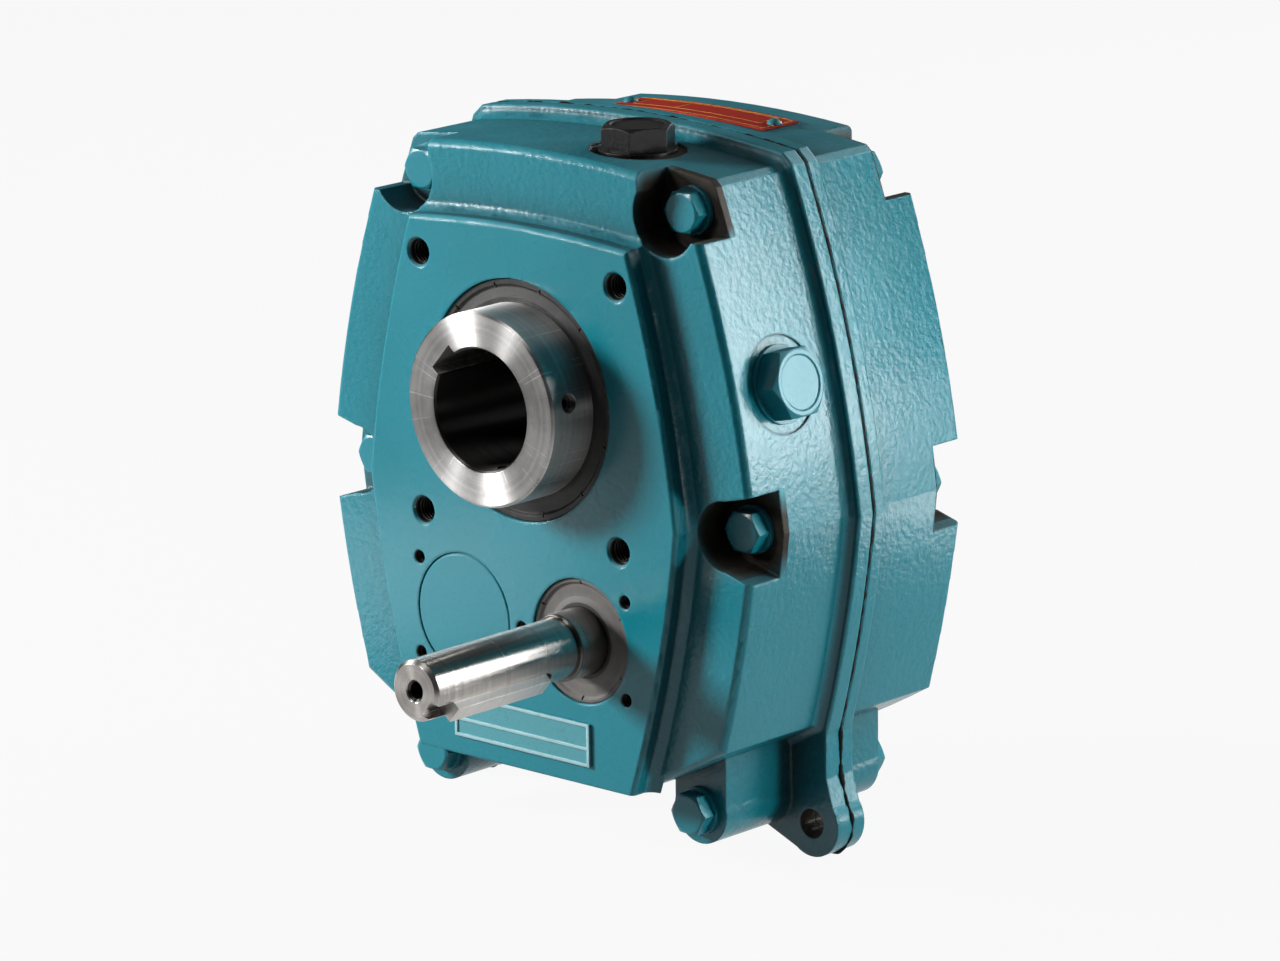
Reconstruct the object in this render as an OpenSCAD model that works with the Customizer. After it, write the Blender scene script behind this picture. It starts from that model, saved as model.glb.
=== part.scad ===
// Shaft mounted gearbox with two gear pairs, in a split cast casing.
// The hollow output sleeve carries the whole unit on the driven shaft, and two lugs take its torque.
// X runs to the right, Y to the back and Z up. The origin is on the output axis, in the casing joint.

/* [Output sleeve] */
// Bore for the driven shaft
bore_d = 50; // [40:1:54]
// Outside of the sleeve under the seals and bearings
hub_d = 80; // [76:1:84]
// Reach of the sleeve beyond each casing pad
hub_reach = 22; // [16:1:34]
// Width of the keyway in the bore
bore_key_w = 14; // [10:1:16]
// Depth of the keyway beyond the bore
bore_key_deep = 3.8; // [2:0.2:5]
// Angle of the keyway, seen from the front
bore_key_angle = 138; // [100:1:170]
// Thread of the set screws in the front hub
set_screw_d = 8; // [5:1:10]
// Distance of the set screws from the front pad
set_screw_reach = 12; // [8:0.5:13]

/* [Input shaft] */
// Diameter of the shaft end
shaft_d = 25; // [22:1:27]
// Reach of the shaft end beyond the front pad
shaft_reach = 95.5; // [80:0.5:120]
// Diameter under the input seal
seal_journal_d = 28; // [27.5:0.5:29.5]
// Reach of the seal journal beyond the front pad
seal_journal_reach = 14; // [6:1:20]
// Width of the shaft key
key_w = 8; // [6:1:10]
// Height of the shaft key
key_h = 7; // [5:0.5:8]
// Length of the shaft key
key_l = 57; // [30:1:60]
// Distance from the shaft end to the key
key_inset = 10; // [4:1:16]
// Angle of the key, seen from the front
key_angle = -40; // [-180:1:180]
// Tapping drill in the shaft end
end_hole_d = 6.8; // [5:0.1:8.5]

/* [Gear train] */
// Teeth on the input pinion
input_teeth = 23; // [22:1:24]
// Teeth on the intermediate gear
intermediate_teeth = 63; // [62:1:64]
// Module of the first pair
first_module = 1.5; // [1.48:0.01:1.52]
// Face width of the first pair
first_face = 22; // [18:1:24]
// Teeth on the intermediate pinion
pinion_teeth = 17; // [17:1:18]
// Teeth on the output gear
output_teeth = 83; // [82:1:83]
// Module of the second pair
second_module = 2; // [1.98:0.01:2.01]
// Face width of the second pair
second_face = 32; // [26:1:34]
// Flank clearance of each gear
gear_slack = 0.15; // [0.12:0.01:0.2]

/* [Bearings and seals] */
// Radial height of the output bearings
output_bearing_h = 15; // [13:0.5:16]
// Width of the output bearings
output_bearing_w = 16; // [14:0.5:18]
// Inside of the front input bearing
input_bearing_id = 30; // [30:0.5:32]
// Outside of the front input bearing
input_bearing_od = 62; // [60:0.5:64]
// Width of the front input bearing
input_bearing_w = 16; // [14:0.5:18]
// Inside of the small bearings
small_bearing_id = 25; // [24:0.5:26]
// Outside of the small bearings
small_bearing_od = 52; // [50:0.5:54]
// Width of the small bearings
small_bearing_w = 15; // [13:0.5:16]
// Face of each pad to the inner face of its bearings
bearing_deep = 31; // [29:0.5:33]
// Radial height of the output seals
output_seal_h = 10; // [9:0.5:12]
// Width of the output seals
output_seal_w = 10; // [8:0.5:12]
// Outside of the input seal
input_seal_od = 52; // [50:0.5:54]
// Width of the input seal
input_seal_w = 7; // [6:0.5:9]

/* [Casing] */
// Joint face to the face of the front pad
front_depth = 77; // [74:0.5:82]
// Joint face to the face of the rear pad
rear_depth = 74; // [72:0.5:80]
// Height of each pad above its casing wall
pad_step = 10; // [6:0.5:12]
// Wall thickness
wall = 9; // [7:0.5:10]
// Flange of the front half
front_flange = 9; // [8:0.5:12]
// Flange of the rear half
rear_flange = 7.5; // [7:0.5:12]
// Width of the flange outside the walls
flange_lip = 5.5; // [4:0.5:8]
// Half width at the top corners
top_x = 82; // [80:0.5:86]
// Height of the top in the middle
top_z = 101.3; // [99:0.1:104]
// Radius of the crowned top
crown_r = 600; // [450:10:900]
// Half width at the waist
waist_x = 117; // [114:0.5:120]
// Height of the waist
waist_z = -42; // [-46:0.5:-38]
// Radius of the barrelled sides
barrel_r = 540; // [420:10:800]
// Half width at the lower corners
low_x = 99.5; // [97:0.5:103]
// Height of the lower corners
low_z = -132; // [-135:0.5:-128]
// Half width of the flat bottom
foot_x = 57; // [52:0.5:62]
// Height of the bottom
foot_z = -154.5; // [-158:0.5:-154]

/* [Front and rear pads] */
// Half width of the pad at its top
pad_top_x = 60; // [57:0.5:62]
// Height of the pad in the middle of its top
pad_top_z = 72; // [70:0.5:74]
// Half width of the pad at the waist
pad_waist_x = 85; // [82:0.5:86]
// Half width of the pad at its bottom
pad_low_x = 60; // [56:0.5:64]
// Spacing of the square of large tapped holes
large_spacing = 108; // [104:1:112]
// Tapping drill of the large holes
large_hole_d = 10.2; // [8.5:0.1:10.5]
// Depth of the large holes
large_hole_deep = 15; // [10:1:16]
// Sideways spacing of the small tapped holes
small_spacing_x = 114; // [112:1:118]
// Upright spacing of the small tapped holes
small_spacing_z = 40.6; // [38:0.1:44]
// Tapping drill of the small holes
small_hole_d = 5; // [4:0.1:5.5]
// Depth of the small holes
small_hole_deep = 10; // [8:1:12]

/* [Bolts and lugs] */
// Thread of the casing bolts
bolt_d = 10; // [8:1:10]
// Width across flats of the bolt heads and nuts
bolt_af = 16; // [15:0.5:17]
// Depth of the bolt pockets behind the ledge of each half
pocket_deep = 18; // [15:0.5:22]
// Half spacing of the top bolts
top_bolt_x = 71.5; // [70:0.5:73]
// Height of the top bolts
top_bolt_z = 83; // [82:0.5:84]
// Radius of the top pockets
top_pocket_r = 16.5; // [15:0.5:17]
// Half spacing of the waist bolts
waist_bolt_x = 102; // [101:0.5:103]
// Radius of the waist pockets
waist_pocket_r = 14.5; // [13:0.5:15]
// Half spacing of the foot bolts
foot_bolt_x = 71.5; // [69:0.5:73]
// Height of the foot bolts
foot_bolt_z = -164.5; // [-167:0.5:-162]
// Radius of the foot bosses and lugs
lug_r = 14; // [13:0.5:16]
// Half spacing of the lug holes
lug_x = 96.2; // [94:0.1:100]
// Height of the lug holes
lug_z = -174.7; // [-178:0.1:-172]
// Diameter of the lug holes
lug_hole_d = 12; // [10:0.5:14]

/* [Plugs and plates] */
// Sideways place of the filler plug
filler_x = 30; // [24:1:34]
// Distance of the filler plug in front of the joint
filler_reach = 36; // [30:1:40]
// Height of the level plug
level_z = 15.5; // [8:0.5:24]
// Distance of the level plug in front of the joint
level_reach = 38; // [34:1:42]
// Sideways place of the drain plug
drain_x = 20; // [14:1:26]
// Thread of the plugs
plug_d = 21; // [16:0.5:22]
// Width across flats of the plugs
plug_af = 27; // [24:0.5:29]
// Height of the plug heads
plug_head = 10; // [7:0.5:12]
// Width of the plate on top
plate_w = 86; // [70:1:96]
// Depth of the plate on top
plate_l = 22; // [16:1:26]
// Distance of the plate behind the joint
plate_reach = 36; // [30:1:40]
// Thickness of both plates
plate_t = 0.8; // [0.5:0.1:1.5]
// Width of the plate on the front pad
front_plate_w = 75; // [60:1:80]
// Height of the plate on the front pad
front_plate_h = 18; // [14:1:20]
// Height of the middle of that plate
front_plate_z = -137.5; // [-139:0.5:-136]

/* [Hidden] */
$fn = 72;
big = 400;
round_fn = 360;
paint = "#0b7f8f";
steel = "#b9bcbf";
dark_steel = "#3a3d40";
rubber = "#2b2b2d";
red = "#b3261e";

// Clearances
seat_gap = 0.02;
lip_gap = 0.05;
key_gap = 0.03;
ball_gap = 0.3;
bolt_gap = 0.5;
plug_gap = 0.1;
plate_gap = 0.2;
edge = 1;

// Casing joint and inner walls
gasket_t = 0.6;
joint_y = gasket_t / 2;
front_pad_y = -front_depth;
rear_pad_y = rear_depth;

// Bearings as inside, outside, width and ball diameter
ball_share = 0.3;
output_bearing = bearing(hub_d, hub_d + 2 * output_bearing_h, output_bearing_w);
input_front_bearing = bearing(input_bearing_id, input_bearing_od, input_bearing_w);
small_bearing = bearing(small_bearing_id, small_bearing_od, small_bearing_w);
ring_share = 0.3;
cage_share = 0.26;
front_bearing_y = front_pad_y + bearing_deep;
rear_bearing_y = rear_pad_y - bearing_deep;
output_front_y = front_bearing_y - output_bearing[2];
input_front_y = front_bearing_y - input_front_bearing[2];
small_front_y = front_bearing_y - small_bearing[2];
boss_wall = 9;
circlip_t = 1.7;
circlip_deep = 1.5;
circlip_open = 8;
circlip_h = 2.5;
core_plug_t = 6;
core_plug_cut = 0.8;

// Seals
output_seal_od = hub_d + 2 * output_seal_h;
seal_sunk = 1;

// Gear train
pressure = 20;
first_centres = first_module * (input_teeth + intermediate_teeth) / 2;
second_centres = second_module * (pinion_teeth + output_teeth) / 2;
input_x = first_centres / 2;
lower_z = -sqrt(pow(second_centres, 2) - pow(input_x, 2));
pinion_extra = 2;
gear_hub = 4;
pair_gap = 10;
first_y = front_bearing_y + gear_hub;
first_end = first_y + first_face;
second_y = first_end + pair_gap;
second_end = second_y + second_face;
output_angle = atan2(lower_z, -input_x);
output_seat_d = hub_d + 8;
output_collar_d = hub_d + 16;
mid_seat_d = small_bearing[0] + 5;
mid_collar_d = mid_seat_d + 6;

// Right hand sides of the casing and of the pads, as the centres of their arcs
cast_r = 4;
pad_edge_r = 2.5;
flange_edge_r = 1.5;
joint_cut = 0.8;
cove_r = 5;
round_over = 1.06;
corner_cut = 1.1;
top_angle = 48;
top_corner = [top_x, top_z - pow(top_x, 2) / (2 * crown_r)];
waist = [waist_x, waist_z];
low_corner = [low_x, low_z];
foot_corner = [foot_x, foot_z];
casing_arcs = [arc_centre(top_corner, waist, barrel_r), arc_centre(waist, low_corner, barrel_r),
    arc_centre(low_corner, foot_corner, barrel_r),
    top_corner - (barrel_r + corner_cut) * [cos(top_angle), sin(top_angle)]];
pad_top = [pad_top_x, pad_top_z - pow(pad_top_x, 2) / (2 * crown_r)];
pad_waist = [pad_waist_x, waist_z];
pad_low = [pad_low_x, foot_z];
pad_arcs = [arc_centre(pad_top, pad_waist, barrel_r), arc_centre(pad_waist, pad_low, barrel_r)];

// Bolt places and pockets
front_pocket_y = -pocket_floor(front_depth);
rear_pocket_y = pocket_floor(rear_depth);
pocket_wall = 6;
column_r = bolt_d / 2 + 6;
top_notch = [top_bolt_x - 14.5, top_bolt_z - 9];
bolt_places = [[top_bolt_x, top_bolt_z], [waist_bolt_x, waist_z], [foot_bolt_x, foot_bolt_z]];
bolt_head = 0.64 * bolt_d;
nut_t = 0.84 * bolt_d;
washer_t = 2;
bolt_tail = 2.5;
web_r = lug_r - 0.4;
neck_x = low_x + flange_lip - 1;
dowel_d = 6;
dowel_l = 14;
dowel_land = (wall - flange_lip) / 2;
dowel_top_x = -40;
dowel_foot_x = 30;
dowel_places = [[dowel_top_x, crown_z(dowel_top_x) - dowel_land], [dowel_foot_x, foot_z + dowel_land]];

// Plugs and rivets
plug_shank = 12;
plug_washer_t = 1.5;
plug_rim = 1.6;
plug_dish = 0.6;
spot_d = plug_af + 13;
spot_deep = 1.2;
rivet_d = 6.5;
rivet_shank_d = 3;
rivet_inset = 3.5;
level_slope = asin((level_z - casing_arcs[0][1]) / barrel_r);
level_x = casing_arcs[0][0] + barrel_r * cos(level_slope);

// Distance from the joint to the pocket floors of a half
function pocket_floor(depth) = depth - pad_step - pocket_deep;

// Height of the crowned top at a sideways place
function crown_z(x) = top_z - crown_r + sqrt(crown_r * crown_r - x * x);

// Centre of an arc from a to b that bulges to the right of the way down
function arc_centre(a, b, r) =
    let (reach = norm(b - a))
    (a + b) / 2 + [b[1] - a[1], a[0] - b[0]] / reach * sqrt(r * r - reach * reach / 4);

// Half angle of a tooth at radius r, on an involute flank with its root drawn straight in
function involute(a) = tan(a) * 180 / PI - a;
function tooth_half(mod, teeth, r) =
    let (pitch_r = mod * teeth / 2, base_r = pitch_r * cos(pressure))
    90 / teeth - gear_slack / pitch_r * 180 / PI + involute(pressure)
    - involute(acos(min(1, base_r / max(r, base_r))));

// Outline of a gear with a tooth at the given angle
function gear_points(mod, teeth, angle) =
    let (root = mod * (teeth / 2 - 1.25), tip = mod * (teeth / 2 + 1))
    let (radii = [for (i = [0:3]) root + (tip - root) * i / 3])
    [for (t = [0:teeth - 1], side = [-1, 1], i = [0:3])
        let (r = radii[side < 0 ? i : 3 - i])
        let (a = angle + 360 * t / teeth + side * tooth_half(mod, teeth, r))
        [r * cos(a), r * sin(a)]];

// Ball bearing sizes as a list of four, and what is worked out from it
function bearing(inside, outside, width) = [inside, outside, width, ball_share * (outside - inside)];
function race_r(b) = (b[0] + b[1]) / 4;
function ball_count(b) = floor(2 * PI * race_r(b) / (b[3] * 1.5));

// Extrusion of an upright outline from one depth to another
module along_y(from, to) {
    translate([0, to, 0]) rotate([90, 0, 0]) linear_extrude(to - from) children();
}

// Turned solid with its profile given as radius and depth
module turned() {
    rotate([-90, 0, 0]) rotate_extrude() children();
}

// Straight round bar or hole along Y
module rod(d, from, to) {
    turned() translate([0, from]) square([d / 2, to - from]);
}

// Tube along Y
module tube(inner_d, outer_d, from, to) {
    turned() translate([inner_d / 2, from]) square([(outer_d - inner_d) / 2, to - from]);
}

// Children on both sides of the middle plane
module both_sides() {
    children();
    mirror([1, 0, 0]) children();
}

// Children moved to one of the shaft axes
module at_input() {
    translate([input_x, 0, lower_z]) children();
}
module at_intermediate() {
    translate([-input_x, 0, lower_z]) children();
}

// Upright outlines

// Casing section, grown outwards or inwards
module casing_outline(grow = 0) {
    intersection() {
        translate([0, top_z - crown_r]) circle(crown_r + grow, $fn = round_fn);
        translate([-big, foot_z - grow]) square(2 * big);
        intersection_for (m = [0, 1]) mirror([m, 0]) intersection_for (c = casing_arcs)
            translate(c) circle(barrel_r + grow, $fn = round_fn);
    }
}

// Section through a cast edge as reach and depth, with a rounded corner and a hollow or a chamfer at its base
module edge_profile(reach, base, depth, edge_r, cove = 0, cut = 0) {
    difference() {
        translate([0, base - edge]) square([reach, depth - base + edge]);
        if (cut > 0) translate([reach, base - edge]) rotate(45) square(cut * sqrt(2), center = true);
        translate([reach - edge_r, depth - edge_r]) difference() {
            square(2 * edge_r);
            circle(edge_r * round_over);
        }
    }
    if (cove > 0) difference() {
        translate([reach - cove, base - edge]) square([2 * cove, cove + edge]);
        translate([reach + cove, base + cove]) circle(cove * round_over);
    }
}

// Solid between the crowned top, the barrelled sides and the flat bottom, with a cast edge on the arcs
module cast_block(top, arcs, grow, base, depth, edge_r, cove = 0, cut = 0) {
    intersection() {
        translate([-big, base - edge, foot_z - grow]) cube([2 * big, depth - base + edge, 2 * big]);
        translate([0, 0, top - crown_r]) turned($fn = round_fn)
            edge_profile(crown_r + grow, base, depth, edge_r, cove, cut);
        intersection_for (m = [0, 1]) mirror([m, 0, 0]) intersection_for (c = arcs)
            translate([c[0], 0, c[1]]) turned($fn = round_fn)
                edge_profile(barrel_r + grow, base, depth, edge_r, cove, cut);
    }
}

// Lug with its web up to the casing on the right
module lug_outline() {
    reach = norm([lug_x - foot_bolt_x, lug_z - foot_bolt_z]);
    translate([lug_x, lug_z]) circle(lug_r);
    translate([foot_bolt_x, foot_bolt_z]) circle(lug_r);
    translate([foot_bolt_x, foot_bolt_z])
        rotate(atan2(lug_z - foot_bolt_z, lug_x - foot_bolt_x))
            translate([0, -web_r]) square([reach, 2 * web_r]);
    polygon([[lug_x + web_r, lug_z], [neck_x, foot_z], [neck_x, low_z + lug_r], [foot_x, foot_z + wall],
        [foot_bolt_x, foot_bolt_z]]);
}

// Flange section, with its lip grown or shrunk between the lugs
module flange_outline(grow = 0) {
    casing_outline(flange_lip + grow);
    lug_outline();
    mirror([1, 0]) lug_outline();
}

// Right hand pockets around the top and waist bolts
module pocket_outline(grow = 0) {
    translate(bolt_places[0]) circle(top_pocket_r + grow);
    translate(top_notch - [grow, grow]) square(big);
    translate(bolt_places[1]) {
        reach = 60;
        half = waist_pocket_r + grow;
        circle(half);
        polygon([[0, half], [reach, half + 0.25 * reach], [reach, -half - 0.29 * reach], [0, -half]]);
    }
}

// Bolt holes of the right hand side
module bolt_holes(d) {
    for (place = bolt_places) translate(place) circle(d / 2);
}

// Casing halves, built backwards from the joint

// Inner space of a half, with its bolt columns and pocket walls standing in it
module half_space(depth) {
    floor_y = depth - pad_step - wall;
    difference() {
        along_y(-1, floor_y) casing_outline(-wall);
        both_sides() along_y(-2, floor_y + 1) for (i = [0, 1]) translate(bolt_places[i]) circle(column_r);
        both_sides() along_y(pocket_floor(depth) - pocket_wall, floor_y + 1) pocket_outline(pocket_wall);
    }
}

// Outer form of a half
module half_form(depth, flange) {
    ledge = depth - pad_step;
    cast_block(top_z, casing_arcs, 0, flange, ledge, cast_r, cove_r);
    cast_block(top_z, casing_arcs, flange_lip, joint_y + edge, flange, flange_edge_r, cut = joint_cut);
    cast_block(pad_top_z, pad_arcs, 0, ledge, depth, pad_edge_r, cove_r);
    both_sides() along_y(joint_y, flange) lug_outline();
    both_sides() along_y(joint_y, pocket_floor(depth)) {
        translate(bolt_places[2]) circle(lug_r);
        polygon([[foot_bolt_x - web_r, foot_bolt_z], [foot_bolt_x + web_r, foot_bolt_z],
            [foot_bolt_x + web_r, foot_z + 2 * wall], [foot_bolt_x - web_r, foot_z + wall]]);
    }
}

// Half casing with bolt holes, lug holes and dowel holes, but no bearing bosses
module half_casing(depth, flange) {
    difference() {
        half_form(depth, flange);
        half_space(depth);
        both_sides() along_y(pocket_floor(depth), depth + 1) pocket_outline();
        both_sides() along_y(-1, depth) bolt_holes(bolt_d + 2 * bolt_gap);
        both_sides() along_y(-1, depth) translate([lug_x, lug_z]) circle(lug_hole_d / 2);
        for (place = dowel_places)
            translate([place[0], 0, place[1]]) rod(dowel_d + 2 * lip_gap, -1, dowel_l / 2);
    }
}

// Boss around a bearing, between the inner wall and the bearing's inner face
module boss(outside, from, to) {
    rod(outside + 2 * boss_wall, from, to);
}

// Blind tapped hole in the front pad
module tapped_hole(d, deep) {
    rod(d, front_pad_y - 1, front_pad_y + deep);
    turned() polygon([[0, front_pad_y - 1], [d * 0.62 + 1, front_pad_y - 1], [0, front_pad_y + d * 0.62]]);
}

// Hole, spot face and thread of a plug that points up from its seat
module plug_hole() {
    cylinder(d = spot_d, h = big / 10);
    translate([0, 0, -2 * plug_shank]) cylinder(d = plug_d + 2 * plug_gap, h = 3 * plug_shank);
}

// Places of the three plugs, each with its axis upright
module at_filler() {
    translate([filler_x, -filler_reach, crown_z(filler_x) - spot_deep]) children();
}
module at_level() {
    translate([level_x, -level_reach, level_z]) rotate([0, 90 - level_slope, 0])
        translate([0, 0, -spot_deep]) children();
}
module at_drain() {
    translate([drain_x, -filler_reach, foot_z + spot_deep]) rotate([180, 0, 0]) children();
}

// Groove for a circlip outside a bearing that starts at a depth
module circlip_groove(outside, from) {
    rod(outside + 2 * circlip_deep, from, from + circlip_t);
}

module front_casing() {
    circlip_y = small_front_y - circlip_t;
    color(paint) difference() {
        union() {
            mirror([0, 1, 0]) half_casing(front_depth, front_flange);
            boss(output_bearing[1], front_pad_y + wall, front_bearing_y);
            at_input() boss(input_front_bearing[1], front_pad_y + wall, front_bearing_y);
            at_intermediate() boss(small_bearing[1], front_pad_y + wall, front_bearing_y);
        }
        rod(output_seal_od, front_pad_y - 1, front_bearing_y + 1);
        rod(output_bearing[1], output_front_y, front_bearing_y + 1);
        at_input() rod(input_seal_od, front_pad_y - 1, front_bearing_y + 1);
        at_input() rod(input_front_bearing[1], input_front_y, front_bearing_y + 1);
        at_intermediate() rod(small_bearing[1], front_pad_y - 1, front_bearing_y + 1);
        at_intermediate() circlip_groove(small_bearing[1], circlip_y);
        for (x = [-1, 1], z = [-1, 1]) {
            translate([x, 0, z] * large_spacing / 2) tapped_hole(large_hole_d, large_hole_deep);
            translate([x * small_spacing_x / 2, 0, lower_z + z * small_spacing_z / 2])
                tapped_hole(small_hole_d, small_hole_deep);
        }
        translate([0, 0, lower_z]) tapped_hole(small_hole_d, small_hole_deep);
        at_filler() plug_hole();
        at_level() plug_hole();
        at_drain() plug_hole();
    }
}

module rear_casing() {
    circlip_y = rear_bearing_y + small_bearing[2];
    color(paint) difference() {
        union() {
            half_casing(rear_depth, rear_flange);
            boss(output_bearing[1], rear_bearing_y, rear_pad_y - wall);
            at_input() boss(small_bearing[1], rear_bearing_y, rear_pad_y - wall);
            at_intermediate() boss(small_bearing[1], rear_bearing_y, rear_pad_y - wall);
        }
        rod(output_seal_od, rear_bearing_y - 1, rear_pad_y + 1);
        rod(output_bearing[1], rear_bearing_y - 1, rear_bearing_y + output_bearing[2]);
        at_input() rod(small_bearing[1], rear_bearing_y - 1, rear_pad_y + 1);
        at_input() circlip_groove(small_bearing[1], circlip_y);
        at_intermediate() rod(small_bearing[1], rear_bearing_y - 1, rear_pad_y + 1);
        at_intermediate() circlip_groove(small_bearing[1], circlip_y);
        both_sides() at_plate_end() translate([0, 0, -4]) cylinder(d = rivet_shank_d + 2 * lip_gap, h = 8);
    }
}

module casing_gasket() {
    color(dark_steel) along_y(-joint_y, joint_y) difference() {
        flange_outline(-joint_cut);
        difference() {
            casing_outline(-wall);
            for (side = [0, 1], i = [0, 1]) mirror([side, 0]) translate(bolt_places[i]) circle(column_r);
        }
        for (side = [0, 1]) mirror([side, 0]) {
            bolt_holes(bolt_d + 2 * bolt_gap);
            translate([lug_x, lug_z]) circle(lug_hole_d / 2);
        }
        for (place = dowel_places) translate(place) circle(dowel_d / 2 + lip_gap);
    }
}

// Casing bolts

// Children at the six bolts
module at_bolts() {
    both_sides() for (place = bolt_places) translate([place[0], 0, place[1]]) children();
}

// Hexagon along Y with its far edge turned to a chamfer
module hexagon(af, from, to) {
    corner_r = af / sqrt(3);
    chamfer = corner_r - af / 2;
    intersection() {
        along_y(min(from, to), max(from, to)) circle(corner_r, $fn = 6);
        turned() polygon([[0, from], [corner_r + 1, from], [corner_r + 1, to - sign(to - from) * chamfer],
            [af / 2 - 0.5, to], [0, to]]);
    }
}

module case_bolts() {
    head_y = front_pocket_y - washer_t;
    end_y = rear_pocket_y + washer_t + nut_t + bolt_tail;
    color(paint) at_bolts() {
        hexagon(bolt_af, head_y, head_y - bolt_head);
        rod(bolt_d, head_y - 1, end_y);
    }
}

module case_washers() {
    color(paint) at_bolts() for (y = [front_pocket_y - washer_t, rear_pocket_y])
        tube(bolt_d + 2 * bolt_gap, 2 * bolt_d, y, y + washer_t);
}

module case_nuts() {
    seat_y = rear_pocket_y + washer_t;
    color(paint) at_bolts() difference() {
        hexagon(bolt_af, seat_y, seat_y + nut_t);
        rod(bolt_d + 2 * lip_gap, seat_y - 1, seat_y + nut_t + 1);
    }
}

module dowel_pins() {
    half = dowel_l / 2 - edge / 2;
    color(steel) for (place = dowel_places) translate([place[0], 0, place[1]]) rod(dowel_d, -half, half);
}

// Oil plugs

// Hexagon plug standing on its washer
module hex_plug() {
    corner_r = plug_af / sqrt(3);
    top = plug_washer_t + plug_head;
    rim_r = plug_af / 2 - 0.5;
    intersection() {
        translate([0, 0, plug_washer_t]) cylinder(r = corner_r, h = plug_head, $fn = 6);
        rotate_extrude() polygon([[0, plug_washer_t], [corner_r + 1, plug_washer_t],
            [corner_r + 1, top - corner_r + plug_af / 2], [rim_r, top], [rim_r - plug_rim, top],
            [rim_r - plug_rim - plug_dish, top - plug_dish], [0, top - plug_dish]]);
    }
    translate([0, 0, -plug_shank]) cylinder(d = plug_d, h = plug_shank + plug_washer_t + 1);
}

module plug_washer() {
    difference() {
        cylinder(d = plug_af + 5, h = plug_washer_t);
        translate([0, 0, -1]) cylinder(d = plug_d + 2 * plug_gap, h = plug_washer_t + 2);
    }
}

module filler_plug() {
    color(dark_steel) at_filler() hex_plug();
}
module filler_washer() {
    color(dark_steel) at_filler() plug_washer();
}
module level_plug() {
    color(paint) at_level() rotate(30) hex_plug();
}
module level_washer() {
    color(paint) at_level() plug_washer();
}
module drain_plug() {
    color(paint) at_drain() hex_plug();
}
module drain_washer() {
    color(paint) at_drain() plug_washer();
}

// Plates

// Right hand rivet place on the crowned top
module at_plate_end() {
    x = plate_w / 2 - rivet_inset;
    translate([x, plate_reach, crown_z(x)]) rotate([0, asin(x / crown_r), 0]) children();
}

module rating_plate() {
    color(red) difference() {
        along_y(plate_reach - plate_l / 2, plate_reach + plate_l / 2) intersection() {
            translate([0, top_z - crown_r]) difference() {
                circle(crown_r + plate_gap + plate_t, $fn = round_fn);
                circle(crown_r + plate_gap, $fn = round_fn);
            }
            translate([-plate_w / 2, 0]) square([plate_w, big]);
        }
        both_sides() at_plate_end() translate([0, 0, -4]) cylinder(d = rivet_shank_d + 2 * lip_gap, h = 8);
    }
}

module plate_rivets() {
    color(paint) both_sides() at_plate_end() {
        translate([0, 0, plate_gap + plate_t]) rotate_extrude() intersection() {
            translate([0, -rivet_d / 5]) circle(rivet_d * 0.54);
            square(rivet_d);
        }
        translate([0, 0, -3.5]) cylinder(d = rivet_shank_d, h = 4 + plate_gap + plate_t);
    }
}

module front_plate() {
    color(paint) translate([-front_plate_w / 2, front_pad_y - plate_t, front_plate_z - front_plate_h / 2])
        cube([front_plate_w, plate_t, front_plate_h]);
}

// Seals and core plugs

// Lip seal around a shaft, with its face at a depth and its lip behind it
module lip_seal(inner_d, outer_d, face, width, slots) {
    inner_r = inner_d / 2 + lip_gap;
    outer_r = outer_d / 2 - seat_gap;
    case_t = width * 0.25;
    lip_t = width * 0.2;
    back = face + width;
    difference() {
        turned() polygon([[outer_r - edge / 2, face], [outer_r, face + edge / 2], [outer_r, back],
            [outer_r - case_t, back], [outer_r - case_t, face + case_t + 1],
            [inner_r + 3 * lip_t, face + case_t + 1], [inner_r + 2 * lip_t, back - 1],
            [inner_r + lip_t, back - 1], [inner_r, back - 2.5],
            [inner_r + lip_t, face + case_t], [inner_r, face + 1], [inner_r, face + 0.4],
            [inner_r + lip_t, face + 0.4], [inner_r + 3 * lip_t, face + 1], [outer_r - case_t - 1, face + 1],
            [outer_r - case_t, face]]);
        for (i = [0:slots - 1]) rotate([0, 360 * (i + 0.5) / slots, 0])
            translate([outer_r - 1.6 * case_t, face - 1, -0.4]) cube([case_t, 2.2, 0.8]);
    }
}

module front_output_seal() {
    color(rubber) lip_seal(hub_d, output_seal_od, front_pad_y + seal_sunk, output_seal_w, 12);
}

module rear_output_seal() {
    color(rubber) mirror([0, 1, 0])
        lip_seal(hub_d, output_seal_od, seal_sunk - rear_pad_y, output_seal_w, 12);
}

module input_seal() {
    color(rubber) at_input()
        lip_seal(seal_journal_d, input_seal_od, front_pad_y + seal_sunk, input_seal_w, 6);
}

// Closing plug of a bearing bore, with the edge of its face chamfered
module core_plug(face, inner) {
    r = small_bearing[1] / 2 - ball_gap;
    turned() polygon([[0, face], [r - core_plug_cut, face], [r, face + sign(inner - face) * core_plug_cut],
        [r, inner], [0, inner]]);
}
module front_core_plug() {
    color(paint) at_intermediate() core_plug(front_pad_y, front_pad_y + core_plug_t);
}
module rear_core_plugs() {
    color(paint) {
        at_input() core_plug(rear_pad_y, rear_pad_y - core_plug_t);
        at_intermediate() core_plug(rear_pad_y, rear_pad_y - core_plug_t);
    }
}

// Open ring that snaps into a groove
module circlip(outside, from) {
    outer_d = outside + 2 * (circlip_deep - seat_gap);
    difference() {
        tube(outside - 2 * circlip_h, outer_d, from + seat_gap, from + circlip_t - seat_gap);
        translate([-circlip_open / 2, from - 1, 0]) cube([circlip_open, circlip_t + 2, outside]);
    }
}

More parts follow.
